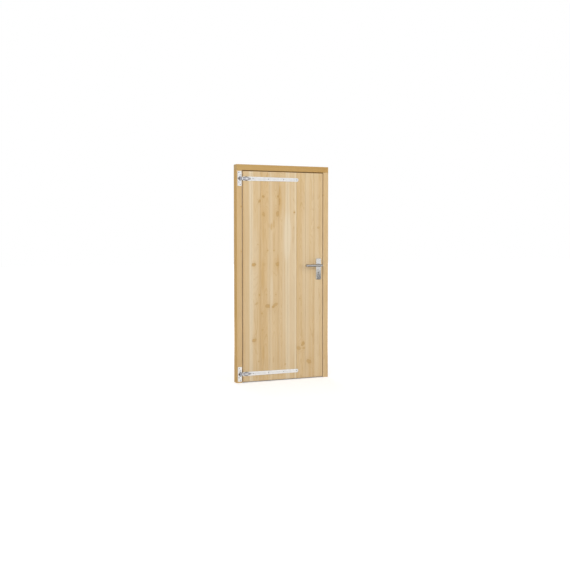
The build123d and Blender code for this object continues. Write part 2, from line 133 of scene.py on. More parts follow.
def knot_group():
    """Adds one branch to the grain: how far it pushes the rings, its core, its rim and its halo."""
    tree, start, end = group(
        "knot",
        [("UVW", "v"), ("Centre", "v"), ("Radius", "f"), ("Wide", "f"), ("Dark", "f"), ("Cos", "f"),
         ("Sin", "f"), ("Push", "f"), ("Core", "f"), ("Rim", "f"), ("Halo", "f")],
        [("Push", "f"), ("Core", "f"), ("Rim", "f"), ("Halo", "f")],
    )
    from_centre = vector_node(tree, "SUBTRACT", start.outputs["UVW"], start.outputs["Centre"])
    shape = noise(tree, start.outputs["UVW"], 42.0, 3.0)
    patches = noise(tree, start.outputs["UVW"], 95.0, 2.0)
    parts = add(tree, "ShaderNodeSeparateXYZ", {0: from_centre})
    cos, sin = start.outputs["Cos"], start.outputs["Sin"]
    u = math_node(tree, "ADD", math_node(tree, "MULTIPLY", parts.outputs[0], cos),
                  math_node(tree, "MULTIPLY", parts.outputs[2], sin))
    w = math_node(tree, "SUBTRACT", math_node(tree, "MULTIPLY", parts.outputs[2], cos),
                  math_node(tree, "MULTIPLY", parts.outputs[0], sin))
    u = math_node(tree, "DIVIDE", u, start.outputs["Wide"])
    flat = add(tree, "ShaderNodeCombineXYZ", {0: u, 2: w}).outputs[0]
    far = math_node(tree, "DIVIDE", vector_node(tree, "LENGTH", flat), start.outputs["Radius"])
    near = math_node(tree, "ADD", far, math_node(tree, "MULTIPLY_ADD", shape, 1.3, -0.65))
    core = math_node(tree, "MULTIPLY", span(tree, near, 1.45, 0.55), start.outputs["Dark"])
    # The rim comes and goes, and the branch has its own few rings
    rim = math_node(tree, "MULTIPLY", span(tree, near, 0.50, 0.95), span(tree, near, 1.35, 0.95))
    rim = math_node(tree, "MULTIPLY", rim, span(tree, patches, 0.38, 0.60, 0.10, 1.0))
    own = math_node(tree, "FRACT", math_node(tree, "MULTIPLY_ADD", near, 3.2, patches))
    own = math_node(tree, "MULTIPLY", span(tree, own, 0.35, 0.90, 0.0, 0.5), span(tree, near, 0.95, 0.60))
    rim = math_node(tree, "MULTIPLY", math_node(tree, "MAXIMUM", rim, own), start.outputs["Dark"])
    stretched = add(tree, "ShaderNodeCombineXYZ", {
        0: parts.outputs[0],
        2: math_node(tree, "MULTIPLY", parts.outputs[2], 0.55),
    }).outputs[0]
    reach = math_node(tree, "DIVIDE", vector_node(tree, "LENGTH", stretched), start.outputs["Radius"])
    fade = math_node(tree, "POWER", 2.718, math_node(
        tree, "MULTIPLY", math_node(tree, "MULTIPLY", reach, reach), -0.35))
    push = math_node(tree, "MULTIPLY", math_node(tree, "MULTIPLY", fade, start.outputs["Radius"]), 0.9)
    halo = math_node(tree, "MULTIPLY", fade, start.outputs["Dark"])
    for label, value, operation in (("Push", push, "ADD"), ("Core", core, "MAXIMUM"),
                                    ("Rim", rim, "MAXIMUM"), ("Halo", halo, "MAXIMUM")):
        total = math_node(tree, operation, start.outputs[label], value)
        tree.links.new(total, end.inputs[label])
    return tree


def spruce_group():
    """The colour and relief of planed spruce round its knots."""
    tree, start, end = group(
        "spruce",
        [("UVW", "v"), ("Pith", "v"), ("Lean", "f"), ("Push", "f"), ("Core", "f"), ("Rim", "f"),
         ("Halo", "f"), ("Pale", "f"), ("Warm", "f")],
        [("Colour", "c"), ("Roughness", "f"), ("Height", "f")],
    )
    uvw = start.outputs["UVW"]
    # The pith wanders slowly along the timber, so the rings run out of the face in arches
    along = scaled(tree, uvw, (0.0, 0.0, 0.9))
    wander = noise(tree, vector_node(tree, "ADD", along, start.outputs["Pith"]), 1.6, 1.5)
    sway = noise(tree, scaled(tree, uvw, (4.0, 4.0, 0.8), (3.1, 1.7, 0.4)), 1.4, 3.0)
    offset = vector_node(tree, "SUBTRACT", uvw, start.outputs["Pith"])
    parts = add(tree, "ShaderNodeSeparateXYZ", {0: offset})
    u = math_node(tree, "ADD", parts.outputs[0], math_node(tree, "MULTIPLY_ADD", wander, 0.06, -0.03))
    lean = math_node(tree, "MULTIPLY", parts.outputs[2], start.outputs["Lean"])
    v = math_node(tree, "ADD", math_node(tree, "ADD", parts.outputs[1], lean),
                  math_node(tree, "MULTIPLY_ADD", sway, 0.05, -0.025))
    section = add(tree, "ShaderNodeCombineXYZ", {0: u, 1: v}).outputs[0]
    radius = vector_node(tree, "LENGTH", section)
    waves = noise(tree, scaled(tree, uvw, (20.0, 20.0, 2.6)), 1.0, 4.0, 0.55)
    warped = math_node(tree, "ADD", radius, math_node(tree, "MULTIPLY", waves, 0.006))
    warped = math_node(tree, "SUBTRACT", warped, start.outputs["Push"])
    turns = math_node(tree, "DIVIDE", warped, ring_width)
    # Each year starts pale and ends in a narrow dark line
    year = math_node(tree, "FRACT", turns)
    late = span(tree, year, 0.45, 0.92)
    late = math_node(tree, "MULTIPLY", late, span(tree, year, 1.0, 0.93))
    strength = noise(tree, add(tree, "ShaderNodeCombineXYZ",
                               {0: math_node(tree, "FLOOR", turns)}).outputs[0], 3.7, 2.0)
    late = math_node(tree, "MULTIPLY", late, span(tree, strength, 0.30, 0.70, 0.25, 1.0))
    fibres = noise(tree, scaled(tree, uvw, (900.0, 900.0, 14.0)), 1.0, 2.0, 0.6)
    strands = noise(tree, scaled(tree, uvw, (160.0, 160.0, 3.0)), 1.0, 3.0, 0.6)
    bands = noise(tree, scaled(tree, uvw, (22.0, 22.0, 0.5), (0.3, 5.0, 1.3)), 1.0, 2.0, 0.5)
    stripes = noise(tree, scaled(tree, uvw, (48.0, 48.0, 0.45), (2.0, 7.0, 0.6)), 1.0, 2.0, 0.5)
    blotch = noise(tree, scaled(tree, uvw, (7.0, 7.0, 2.4), (9.0, 2.0, 5.0)), 1.0, 3.0, 0.6)

    colour = blend_colour(tree, math_node(tree, "MULTIPLY", late, 0.60), early_wood, late_wood)
    colour = blend_colour(tree, span(tree, bands, 0.42, 0.75, 0.0, 0.35), colour, heart_wood)
    colour = blend_colour(tree, span(tree, blotch, 0.45, 0.75, 0.0, 0.25), colour, late_wood)
    colour = blend_colour(tree, span(tree, strands, 0.35, 0.70, 0.0, 0.16), colour, late_wood)
    colour = blend_colour(tree, span(tree, fibres, 0.30, 0.75, 0.0, 0.12), colour, heart_wood)
    colour = blend_colour(tree, span(tree, stripes, 0.48, 0.75, 0.0, 0.40), colour, sap_wood)
    colour = blend_colour(tree, start.outputs["Pale"], colour, sap_wood)
    colour = blend_colour(tree, start.outputs["Warm"], colour, heart_wood)
    colour = blend_colour(tree, math_node(tree, "MULTIPLY", start.outputs["Halo"], 0.56), colour, knot_halo)
    colour = blend_colour(tree, math_node(tree, "MULTIPLY", start.outputs["Core"], 0.95), colour, knot_core)
    colour = blend_colour(tree, math_node(tree, "MULTIPLY", start.outputs["Rim"], 0.62), colour, knot_rim)
    tree.links.new(colour, end.inputs["Colour"])

    rough = math_node(tree, "MULTIPLY_ADD", fibres, 0.16, 0.50)
    rough = math_node(tree, "SUBTRACT", rough, math_node(tree, "MULTIPLY", start.outputs["Core"], 0.12))
    tree.links.new(rough, end.inputs["Roughness"])
    relief = math_node(tree, "MULTIPLY_ADD", late, 0.35, math_node(tree, "MULTIPLY", fibres, 0.55))
    relief = math_node(tree, "ADD", relief, math_node(tree, "MULTIPLY", start.outputs["Core"], 0.3))
    tree.links.new(relief, end.inputs["Height"])
    return tree


knot_tree = knot_group()
spruce_tree = spruce_group()


def banded(tree, uvw, base, bands):
    """A base amount, raised inside soft-edged upright bands."""
    total = base
    for u, w, half_u, half_w, how in bands:
        offset = vector_node(tree, "SUBTRACT", uvw, (u, 0.0, w))
        edge = noise(tree, scaled(tree, uvw, (30.0, 0.0, 1.2), (u, 0.0, 0.0)), 1.0, 3.0)
        inside = vector_node(tree, "MULTIPLY", offset, (1 / half_u, 0, 1 / half_w))
        reach = vector_node(tree, "LENGTH", inside)
        reach = math_node(tree, "ADD", reach, math_node(tree, "MULTIPLY_ADD", edge, 1.0, -0.5))
        total = math_node(tree, "MAXIMUM", total, span(tree, reach, 1.2, 0.4, 0.0, how))
    return total


def timber(name, grain="Z", turn=0.0, pith=(0.0, 0.09, 0.0), lean=0.01, shift=0.0, pale=0.0, warm=0.0,
           knots=(), pale_bands=(), warm_bands=(), shades=(), tints=None):
    """A spruce material. Knots are (u, w, radius, wide, dark) and may have a tilt in degrees.
    Bands are (u, w, half u, half w, how much). Shades are painted shade: bands with their depth behind the
    leaf's front and a colour that multiplies the wood there. Tints are two places along the grain and the
    colours that multiply the wood between them."""
    material = bpy.data.materials.new(name)
    material.use_nodes = True
    tree = material.node_tree
    tree.nodes.clear()
    place = add(tree, "ShaderNodeTexCoord").outputs["Object"]
    if turn:
        place = add(tree, "ShaderNodeVectorRotate", {"Vector": place, "Angle": turn},
                    rotation_type="Y_AXIS").outputs[0]
    parts = add(tree, "ShaderNodeSeparateXYZ", {0: place})
    order = {"Z": (0, 1, 2), "X": (2, 1, 0)}[grain]
    uvw = add(tree, "ShaderNodeCombineXYZ", {
        0: parts.outputs[order[0]],
        1: parts.outputs[order[1]],
        2: parts.outputs[order[2]],
    }).outputs[0]
    state = {"Push": 0.0, "Core": 0.0, "Rim": 0.0, "Halo": 0.0}
    for u, w, radius, wide, dark, *tilt in knots:
        angle = math.radians(tilt[0] if tilt else 0.0)
        inputs = {"UVW": uvw, "Centre": (u, 0.0, w), "Radius": radius, "Wide": wide, "Dark": dark,
                  "Cos": math.cos(angle), "Sin": math.sin(angle), **state}
        knot = use_group(tree, knot_tree, inputs)
        state = {key: knot.outputs[key] for key in state}
    paleness = banded(tree, uvw, pale, pale_bands)
    warmth = banded(tree, uvw, warm, warm_bands)
    moved = vector_node(tree, "ADD", uvw, (0.0, 0.0, shift))
    pith_place = (pith[0], pith[1], pith[2] + shift)
    wood = use_group(tree, spruce_tree, {
        "UVW": moved, "Pith": pith_place, "Lean": lean, "Pale": paleness, "Warm": warmth, **state})
    colour = wood.outputs["Colour"]
    if tints:
        (first, first_tint), (last, last_tint) = tints
        along = add(tree, "ShaderNodeSeparateXYZ", {0: uvw}).outputs[2]
        run = span(tree, along, first, last, smooth=False)
        tint = blend_colour(tree, run, first_tint, last_tint)
        colour = blend_colour(tree, 1.0, colour, tint, "MULTIPLY")
    for *band, depth, shade in shades:
        shallow = span(tree, parts.outputs[1], front_y + depth + shade_fade, front_y + depth)
        factor = math_node(tree, "MULTIPLY", banded(tree, uvw, 0.0, [band]), shallow)
        shaded = blend_colour(tree, 1.0, colour, shade, "MULTIPLY")
        colour = blend_colour(tree, factor, colour, shaded)
    shader = add(tree, "ShaderNodeBsdfPrincipled", {
        "Base Color": colour, "Roughness": wood.outputs["Roughness"]})
    shader.inputs["Specular IOR Level"].default_value = 0.35
    bump = add(tree, "ShaderNodeBump", {"Height": wood.outputs["Height"], "Strength": 0.35,
                                        "Distance": 0.0006})
    tree.links.new(bump.outputs[0], shader.inputs["Normal"])
    output = add(tree, "ShaderNodeOutputMaterial")
    tree.links.new(shader.outputs[0], output.inputs["Surface"])
    return material


def dress(node, material):
    """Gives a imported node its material."""
    mesh = nodes[node].data
    mesh.materials.clear()
    mesh.materials.append(material)


board_looks = {
    "board_1": dict(pith=(0.02, 0.10, 0.0), lean=0.012, shift=3.0, pale=0.10, warm=0.05,
                    # The narrow pale band on the leaf's left edge is painted light, and the warm band
                    # beside it is painted shade along the gap
                    pale_bands=[(0.142, 1.0, 0.021, 3.0, 1.0), (0.0615, 1.0, 0.0030, 9.0, 1.0)],
                    warm_bands=[(0.0690, 1.0, 0.0065, 3.0, 0.50)]),
    "board_2": dict(pith=(0.19, 0.06, 0.0), lean=0.02, shift=7.3, pale=0.06,
                    knots=[(0.231, 1.737, 0.013, 0.75, 0.85, -35), (0.213, 1.323, 0.004, 1.2, 0.5),
                           (0.1735, 1.1300, 0.014, 1.5, 0.9, 12), (0.228, 0.839, 0.006, 1.2, 0.8),
                           (0.200, 0.757, 0.008, 2.0, 0.4, 30), (0.1735, 0.4035, 0.014, 1.4, 0.7, 15),
                           (0.221, 0.198, 0.006, 1.3, 0.5)],
                    pale_bands=[(0.149, 1.0, 0.020, 3.0, 0.80), (0.180, 1.15, 0.045, 0.50, 0.40)],
                    warm_bands=[(0.236, 0.90, 0.012, 0.85, 0.20)]),
    "board_3": dict(pith=(0.30, 0.05, 0.0), lean=-0.015, shift=11.9, warm=0.12,
                    knots=[(0.269, 1.784, 0.009, 1.2, 0.9), (0.271, 1.612, 0.020, 0.6, 0.65, 12),
                           (0.313, 1.266, 0.005, 1.5, 0.7), (0.279, 1.1315, 0.014, 0.9, 0.25),
                           (0.302, 0.839, 0.006, 1.2, 0.4), (0.321, 0.728, 0.015, 1.8, 0.7, -8),
                           (0.256, 0.660, 0.008, 1.2, 0.5), (0.261, 0.499, 0.008, 1.2, 0.4)],
                    pale_bands=[(0.338, 1.0, 0.022, 3.0, 0.40), (0.325, 0.90, 0.020, 0.40, 0.35)],
                    warm_bands=[(0.263, 1.02, 0.020, 0.20, 0.50), (0.257, 0.30, 0.016, 0.35, 0.35),
                                (0.270, 1.42, 0.014, 0.14, 0.30), (0.268, 0.28, 0.014, 0.09, 0.55),
                                (0.328, 1.505, 0.009, 0.035, 0.50)]),
    "board_4": dict(pith=(0.38, 0.045, 0.0), lean=0.018, shift=15.1, pale=0.10,
                    knots=[(0.420, 1.786, 0.009, 1.1, 0.8), (0.4163, 1.618, 0.024, 0.65, 0.65, 8),
                           (0.379, 1.266, 0.005, 1.3, 0.7), (0.4163, 1.1360, 0.019, 0.85, 0.7, -10),
                           (0.397, 0.839, 0.005, 1.2, 0.6), (0.372, 0.722, 0.009, 1.5, 0.8, 20),
                           (0.396, 0.742, 0.012, 2.3, 0.55, 22)],
                    pale_bands=[(0.340, 1.0, 0.026, 3.0, 0.42), (0.350, 0.87, 0.024, 0.22, 0.70)],
                    warm_bands=[(0.424, 1.74, 0.014, 0.16, 0.35), (0.352, 1.495, 0.013, 0.040, 0.60),
                                (0.378, 1.520, 0.012, 0.045, 0.45), (0.418, 1.13, 0.012, 0.10, 0.30)]),
    "board_5": dict(pith=(0.455, 0.030, 0.0), lean=0.022, shift=19.7, pale=0.14,
                    knots=[(0.4956, 0.154, 0.006, 1.3, 0.5), (0.437, 1.738, 0.030, 0.30, 0.75),
                           (0.439, 1.845, 0.040, 0.14, 0.45)],
                    pale_bands=[(0.518, 1.40, 0.042, 0.34, 1.0), (0.520, 1.0, 0.030, 3.0, 0.70),
                                (0.490, 0.75, 0.040, 0.50, 0.25)],
                    warm_bands=[(0.442, 1.74, 0.022, 0.17, 0.40)]),
    "board_6": dict(pith=(0.60, 0.10, 0.0), lean=0.01, shift=23.2, pale=0.15,
                    knots=[(0.592, 1.635, 0.006, 1.3, 1.0)],
                    pale_bands=[(0.520, 1.42, 0.050, 0.36, 1.0), (0.528, 1.0, 0.024, 3.0, 0.75),
                                (0.606, 1.2, 0.016, 3.0, 0.75), (0.570, 0.80, 0.080, 0.90, 0.45)]),
    "board_7": dict(pith=(0.66, 0.055, 0.0), lean=-0.02, shift=27.8, warm=0.06,
                    knots=[(0.618, 1.414, 0.005, 1.2, 0.4), (0.652, 0.7925, 0.005, 1.2, 0.6),
                           (0.636, 0.306, 0.015, 1.6, 0.5, -30), (0.684, 0.348, 0.013, 1.7, 0.75, 48),
                           (0.694, 0.303, 0.010, 1.2, 0.5)],
                    pale_bands=[(0.702, 1.1, 0.032, 0.75, 0.45)]),
    "board_8": dict(pith=(0.79, 0.09, 0.0), lean=0.012, shift=31.4, pale=0.08,
                    knots=[(0.7477, 0.1664, 0.019, 1.25, 0.66, -35)],
                    pale_bands=[(0.722, 1.0, 0.032, 3.0, 0.42)]),
    "board_9": dict(pith=(0.85, 0.07, 0.0), lean=0.015, shift=35.5, pale=0.04,
                    knots=[(0.8486, 1.4872, 0.010, 1.3, 0.4)],
                    pale_bands=[(0.834, 1.0, 0.026, 3.0, 0.34)]),
}
for name, look in board_looks.items():
    dress(name, timber(name + "_spruce", **look))

knuckle_z = {}
for place in ("upper", "lower"):
    low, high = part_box(f"{place}_hinge_plate")
    knuckle_z[place] = (low[2] + high[2]) / 2

brace_turns = {}
for name in ("lower_brace", "upper_brace"):
    low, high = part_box(name)
    brace_turns[name] = math.atan2(high[0] - low[0], high[2] - low[2])

# Painted shade on the hinge jamb: its outer side, its edge beside the leaf, and the wood behind each window
all_through = 0.2
skin_deep = 0.002
outer_side = (0.0, 1.0, 0.0012, 9.0, 1.0, all_through, (1.00, 0.96, 0.76, 1.0))
inner_edge = (0.0500, 1.0, 0.0050, 9.0, 1.0, skin_deep, (0.92, 0.94, 0.98, 1.0))
window_shade = (0.25, 0.24, 0.25, 1.0)
window_shadows = [(0.024, knuckle_z[place], 0.016, 0.022, 1.0, skin_deep, window_shade)
                   for place in ("upper", "lower")]

frame_looks = {
    "hinge_jamb": dict(pith=(0.10, 0.12, 0.0), lean=0.01, shift=41.0, warm=0.26,
                       # The warm band on the jamb's outer side is painted shade as well
                       warm_bands=[(0.0, 1.0, 0.002, 9.0, 0.85)],
                       shades=[outer_side, inner_edge, *window_shadows],
                       knots=[(0.046, 1.685, 0.006, 1.0, 0.9), (0.048, 1.258, 0.005, 1.0, 0.8)]),
    "latch_jamb": dict(pith=(0.88, 0.13, 0.0), lean=0.008, shift=45.0, warm=0.12,
                       pale_bands=[(0.9005, 0.6, 0.0020, 1.2, 1.0)],
                       knots=[(0.905, 1.8075, 0.005, 1.0, 0.5)]),
    "head": dict(grain="X", pith=(2.20, 0.11, 0.0), lean=0.012, shift=51.0, warm=0.66,
                 tints=((0.0, (0.90, 0.91, 0.84, 1.0)), (0.95, (0.84, 0.78, 0.61, 1.0)))),
    "threshold": dict(grain="X", pith=(0.08, 0.10, 0.0), shift=55.0, warm=0.35),
    "hinge_side_stop": dict(pith=(0.10, 0.10, 0.0), shift=57.0, warm=0.15),
    "latch_side_stop": dict(pith=(0.80, 0.10, 0.0), shift=59.0, warm=0.12),
    "head_stop": dict(grain="X", pith=(2.10, 0.10, 0.0), shift=61.0, warm=0.20),
    "hinge_stile": dict(pith=(0.16, -0.08, 0.0), lean=0.01, shift=63.0, pale=0.20,
                        knots=[(0.09, 1.42, 0.011, 1.2, 0.8), (0.12, 0.62, 0.009, 1.3, 0.7)]),
    "lock_stile": dict(pith=(0.88, -0.07, 0.0), lean=-0.01, shift=65.0, warm=0.10,
                       knots=[(0.83, 0.55, 0.010, 1.3, 0.8), (0.86, 1.66, 0.007, 1.2, 0.6)]),
    "top_rail": dict(grain="X", pith=(2.05, -0.09, 0.0), lean=0.01, shift=67.0, warm=0.10,
                     knots=[(1.96, 0.60, 0.009, 1.0, 0.8)]),
    "middle_rail": dict(grain="X", pith=(1.05, -0.08, 0.0), lean=0.014, shift=69.0, warm=0.08,
                        knots=[(1.06, 0.31, 0.010, 1.0, 0.7)]),
    "bottom_rail": dict(grain="X", pith=(0.03, -0.09, 0.0), lean=-0.01, shift=71.0, warm=0.10,
                        knots=[(0.08, 0.52, 0.010, 1.0, 0.8)]),
    "lower_brace": dict(turn=-brace_turns["lower_brace"], pith=(0.2, -0.08, 0.0), shift=73.0, warm=0.08),
    "upper_brace": dict(turn=-brace_turns["upper_brace"], pith=(0.4, -0.08, 0.0), shift=75.0, warm=0.10),
}
for name, look in frame_looks.items():
    dress(name, timber(name + "_spruce", **look))


# Metals

def metal(name, colour, roughness, mottle=0.0, scale=60.0, brushed=None, painted_shade=None):
    """A bare metal. Mottle varies its gloss and tone; brushed is the axis that its fine lines run along.
    The painted shade argument takes the tree, the place and the colour, and returns the colour with painted
    shade on it."""
    material = bpy.data.materials.new(name)
    material.use_nodes = True
    tree = material.node_tree
    shader = tree.nodes["Principled BSDF"]
    shader.inputs["Metallic"].default_value = 1.0
    place = add(tree, "ShaderNodeTexCoord").outputs["Object"]
    cloud = noise(tree, place, scale, 4.0, 0.6)
    dark = tuple(c * (1 - mottle) for c in colour) + (1.0,)
    toned = blend_colour(tree, span(tree, cloud, 0.35, 0.65), dark, tuple(colour) + (1.0,))
    if painted_shade:
        toned = painted_shade(tree, place, toned)
    tree.links.new(toned, shader.inputs["Base Color"])
    stretch = {"X": (6.0, 900.0, 900.0), "Z": (900.0, 900.0, 6.0), None: (700.0, 700.0, 700.0)}[brushed]
    lines = noise(tree, scaled(tree, place, stretch), 1.0, 2.0)
    gloss = math_node(tree, "MULTIPLY_ADD", lines, 0.14, roughness - 0.07)
    tree.links.new(gloss, shader.inputs["Roughness"])
    bump = add(tree, "ShaderNodeBump", {"Height": lines, "Strength": 0.12, "Distance": 0.0002})
    tree.links.new(bump.outputs[0], shader.inputs["Normal"])
    return material


pin_x = 0.0335
plate_front = front_y - 0.003
strap_front = front_y - 0.004

# Half heights of the spade at places along the strap, measured from the pin, and the half height that
# white stands for in their ramp
spade_line = ((0.024, 0.0090), (0.042, 0.0125), (0.064, 0.0195), (0.088, 0.0075), (0.112, 0.0040))
spade_most = 0.02
# Greys of painted shade on the spade, the knuckle and the lugs, and of a painted shadow line along the
# spade's edges
spade_shade_grey = (0.36, 0.35, 0.39, 1.0)
knuckle_shade_grey = (0.26, 0.26, 0.30, 1.0)
lug_shade_grey = (0.28, 0.28, 0.31, 1.0)
spade_edge_shadow = (0.07, 0.065, 0.06, 1.0)


def spade_shade(height):
    """Painted shade: darker grey on the forged spade and the rolled knuckle, and a painted shadow line
    along the spade's edges.
    """
    def painted_shade(tree, place, colour):
        from_pin = vector_node(tree, "SUBTRACT", place, (pin_x, 0.0, height))
        parts = add(tree, "ShaderNodeSeparateXYZ", {0: from_pin})
        along, into = parts.outputs[0], parts.outputs[1]
        across = math_node(tree, "ABSOLUTE", parts.outputs[2])
        first, last = spade_line[0][0], spade_line[-1][0]
        ramp = add(tree, "ShaderNodeValToRGB", {0: span(tree, along, first, last, smooth=False)})
        stops = ramp.color_ramp.elements
        for reach, _ in spade_line[1:-1]:
            stops.new((reach - first) / (last - first))
        for stop, (reach, half) in zip(stops, spade_line):
            stop.position = (reach - first) / (last - first)
            stop.color = (half / spade_most, half / spade_most, half / spade_most, 1.0)
        edge = math_node(tree, "MULTIPLY", ramp.outputs[0], spade_most)
        beyond = math_node(tree, "ABSOLUTE", math_node(tree, "SUBTRACT", across, edge))
        inside = math_node(tree, "MULTIPLY", span(tree, along, first, first + 0.004),
                           span(tree, along, last, last - 0.018, 0.15, 1.0))
        proud = span(tree, into, strap_front - 0.0002, strap_front - 0.0020)
        raised = math_node(tree, "MULTIPLY", inside, proud)
        line = math_node(tree, "MULTIPLY", inside, span(tree, beyond, 0.0034, 0.0014))
        knuckle = span(tree, along, 0.022, 0.014)
        # Painted shade on the spade's face and the knuckle, and a painted shadow line along the spade's
        # edges
        colour = blend_colour(tree, math_node(tree, "MULTIPLY", raised, 0.75), colour, spade_shade_grey)
        colour = blend_colour(tree, math_node(tree, "MULTIPLY", knuckle, 0.85), colour, knuckle_shade_grey)
        return blend_colour(tree, math_node(tree, "MULTIPLY", line, 0.85), colour, spade_edge_shadow)
    return painted_shade


def lug_shade(tree, place, colour):
    """Painted shade: a darker grey on the lugs that stand proud of a hinge plate."""
    into = add(tree, "ShaderNodeSeparateXYZ", {0: place}).outputs[1]
    proud = span(tree, into, plate_front - 0.0002, plate_front - 0.0015, 0.0, 0.75)
    return blend_colour(tree, proud, colour, lug_shade_grey)


plating = dict(colour=(0.85, 0.85, 0.85), roughness=0.30, mottle=0.10, scale=45.0)
zinc = metal("zinc_plate", **plating)
# The pins are a dull zinc, in a darker grey that is painted shade round the knuckles
dull_shaded_zinc = metal("dull_shaded_zinc", (0.62, 0.63, 0.65), 0.42, mottle=0.18, scale=70.0)
plate_zinc = metal("plate_zinc", **plating, painted_shade=lug_shade)
screw_zinc = metal("screw_zinc", (0.42, 0.43, 0.44), 0.40, mottle=0.12, scale=300.0)
satin = metal("satin_steel", (0.65, 0.64, 0.62), 0.10, mottle=0.04, brushed="Z")
polished = metal("polished_steel", (0.50, 0.49, 0.48), 0.20, mottle=0.03, brushed="X")
nickel = metal("nickel", (0.36, 0.35, 0.32), 0.28, mottle=0.06)

for place in ("upper", "lower"):
    dress(f"{place}_hinge_plate", plate_zinc)
    strap_zinc = metal(f"{place}_zinc_strap", **plating, painted_shade=spade_shade(knuckle_z[place]))
    dress(f"{place}_hinge_strap", strap_zinc)
    dress(f"{place}_hinge_pin", dull_shaded_zinc)
    dress(f"{place}_hinge_bolt", zinc)
for name in ("strike_plate", "lock_case", "latch_bolt", "dead_bolt", "outside_lock_plate",
             "inside_lock_plate", "spindle"):
    dress(name, satin)
for name in ("outside_lever", "inside_lever"):
    dress(name, polished)
dress("lock_cylinder", nickel)


# Countersunk screws in the hinges and the lock's plates

def screw_mesh(name, radius=0.0050, recess=0.0030):
    """Countersunk head with a cross recess, looking towards -Y, its face at y = 0."""
    mesh = bmesh.new()
    sides = 24
    flat = -0.0007
    rings = [(radius, 0.0), (radius * 0.96, -0.0003), (radius * 0.62, flat)]
    loops = []
    for ring_radius, y in rings:
        loop = []
        for i in range(sides):
            angle = 2 * math.pi * i / sides
            loop.append(mesh.verts.new((ring_radius * math.cos(angle), y, ring_radius * math.sin(angle))))
        loops.append(loop)
    back = [mesh.verts.new((radius * 0.5 * math.cos(2 * math.pi * i / sides), radius * 0.5,
                            radius * 0.5 * math.sin(2 * math.pi * i / sides))) for i in range(sides)]
    for a, b in ((back, loops[0]), (loops[0], loops[1]), (loops[1], loops[2])):
        for i in range(sides):
            mesh.faces.new((a[i], a[(i + 1) % sides], b[(i + 1) % sides], b[i]))
    mesh.faces.new(list(reversed(back)))
    # The recess is a four-armed star sunk into the flat of the head
    arm, waist = radius * 0.50, radius * 0.14
    star = []
    for i in range(4):
        angle = math.pi / 2 * i
        for side, out in ((-1, arm), (1, arm), (1, waist)):
            across = waist * side
            x = out * math.cos(angle) - across * math.sin(angle)
            z = out * math.sin(angle) + across * math.cos(angle)
            star.append((x, z))
    top = [mesh.verts.new((x, flat, z)) for x, z in star]
    bottom = [mesh.verts.new((x * 0.75, flat + recess, z * 0.75)) for x, z in star]
    count = len(star)
    for i in range(count):
        mesh.faces.new((top[i], top[(i + 1) % count], bottom[(i + 1) % count], bottom[i]))
    mesh.faces.new(bottom)
    # The flat between the inner ring and the star
    ring = loops[2]
    edges = [mesh.edges.get((ring[i], ring[(i + 1) % sides])) for i in range(sides)]
    edges += [mesh.edges.get((top[i], top[(i + 1) % count])) for i in range(count)]
    bmesh.ops.triangle_fill(mesh, edges=edges, use_beauty=True)
    bmesh.ops.recalc_face_normals(mesh, faces=mesh.faces)
    data = bpy.data.meshes.new(name)
    mesh.to_mesh(data)
    mesh.free()
    return data


screw_data = screw_mesh("screw_head")


def place_screw(name, x, y, z, body, turn, facing=0.0):
    """A screw whose head looks outward, or as far round from there as facing says, in degrees."""
    screw = bpy.data.objects.new(name, screw_data.copy())
    bpy.context.scene.collection.objects.link(screw)
    aim = Matrix.Rotation(math.radians(facing), 4, "Z") @ Matrix.Rotation(turn, 4, "Y")
    screw.matrix_world = Matrix.Translation((x, y, z)) @ aim
    screw.data.materials.append(screw_zinc)
    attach(screw, body)


sunk = 0.0004
plate_screws = ((-0.007, 0.056), (0.007, 0.034), (-0.007, -0.034), (0.007, -0.056))
strap_screws = (0.130, 0.287, 0.444, 0.582)
lock_plate_thickness = 0.008
plate_screw_inset = 0.016
strike_screw_inset = 0.012
faceplate_screw_inset = 0.010

for place in ("upper", "lower"):
    low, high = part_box(f"{place}_hinge_plate")
    centre_x = (low[0] + high[0]) / 2
    for i, (dx, dz) in enumerate(plate_screws):
        place_screw(f"{place}_plate_screw_{i + 1}", centre_x + dx, plate_front + sunk,
                    knuckle_z[place] + dz, "frame", 0.5 + 1.1 * i)
    for i, reach in enumerate(strap_screws):
        place_screw(f"{place}_strap_screw_{i + 1}", pin_x + reach, strap_front + sunk,
                    knuckle_z[place], "leaf", 0.2 + 0.8 * i)

plate_low, plate_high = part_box("inside_lock_plate")
strike_low, strike_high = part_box("strike_plate")
case_low, case_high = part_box("lock_case")
bolt_low, bolt_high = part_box("latch_bolt")
plate_x = (plate_low[0] + plate_high[0]) / 2
plate_back = plate_low[1] + lock_plate_thickness
bolt_y = (bolt_low[1] + bolt_high[1]) / 2


def between(low, high, inset):
    """The heights of an upper and a lower screw, set in from the ends of a plate."""
    return high[2] - inset, low[2] + inset


plate_z = between(plate_low, plate_high, plate_screw_inset)
strike_z = between(strike_low, strike_high, strike_screw_inset)
faceplate_z = between(case_low, case_high, faceplate_screw_inset)
for i in range(2):
    place_screw(f"inside_plate_screw_{i + 1}", plate_x, plate_back - sunk, plate_z[i],
                "leaf", 0.4 + 0.9 * i, 180.0)
    place_screw(f"strike_screw_{i + 1}", strike_low[0] + sunk, bolt_y, strike_z[i],
                "frame", 0.7 + 0.9 * i, -90.0)
    place_screw(f"faceplate_screw_{i + 1}", case_high[0] - sunk, bolt_y, faceplate_z[i],
                "leaf", 0.1 + 0.9 * i, 90.0)


# Stage, light and camera

soft_light = 0.50
flag_height = 0.55
flag_black = 0.01
flag_grey = 0.55


def camera_white(tree):
    """1 for rays that should see a white background: from the camera, off gloss and through glass."""
    path = add(tree, "ShaderNodeLightPath")
    seen = math_node(tree, "MAXIMUM", path.outputs["Is Camera Ray"], path.outputs["Is Glossy Ray"])
    return math_node(tree, "MAXIMUM", seen, path.outputs["Is Transmission Ray"])


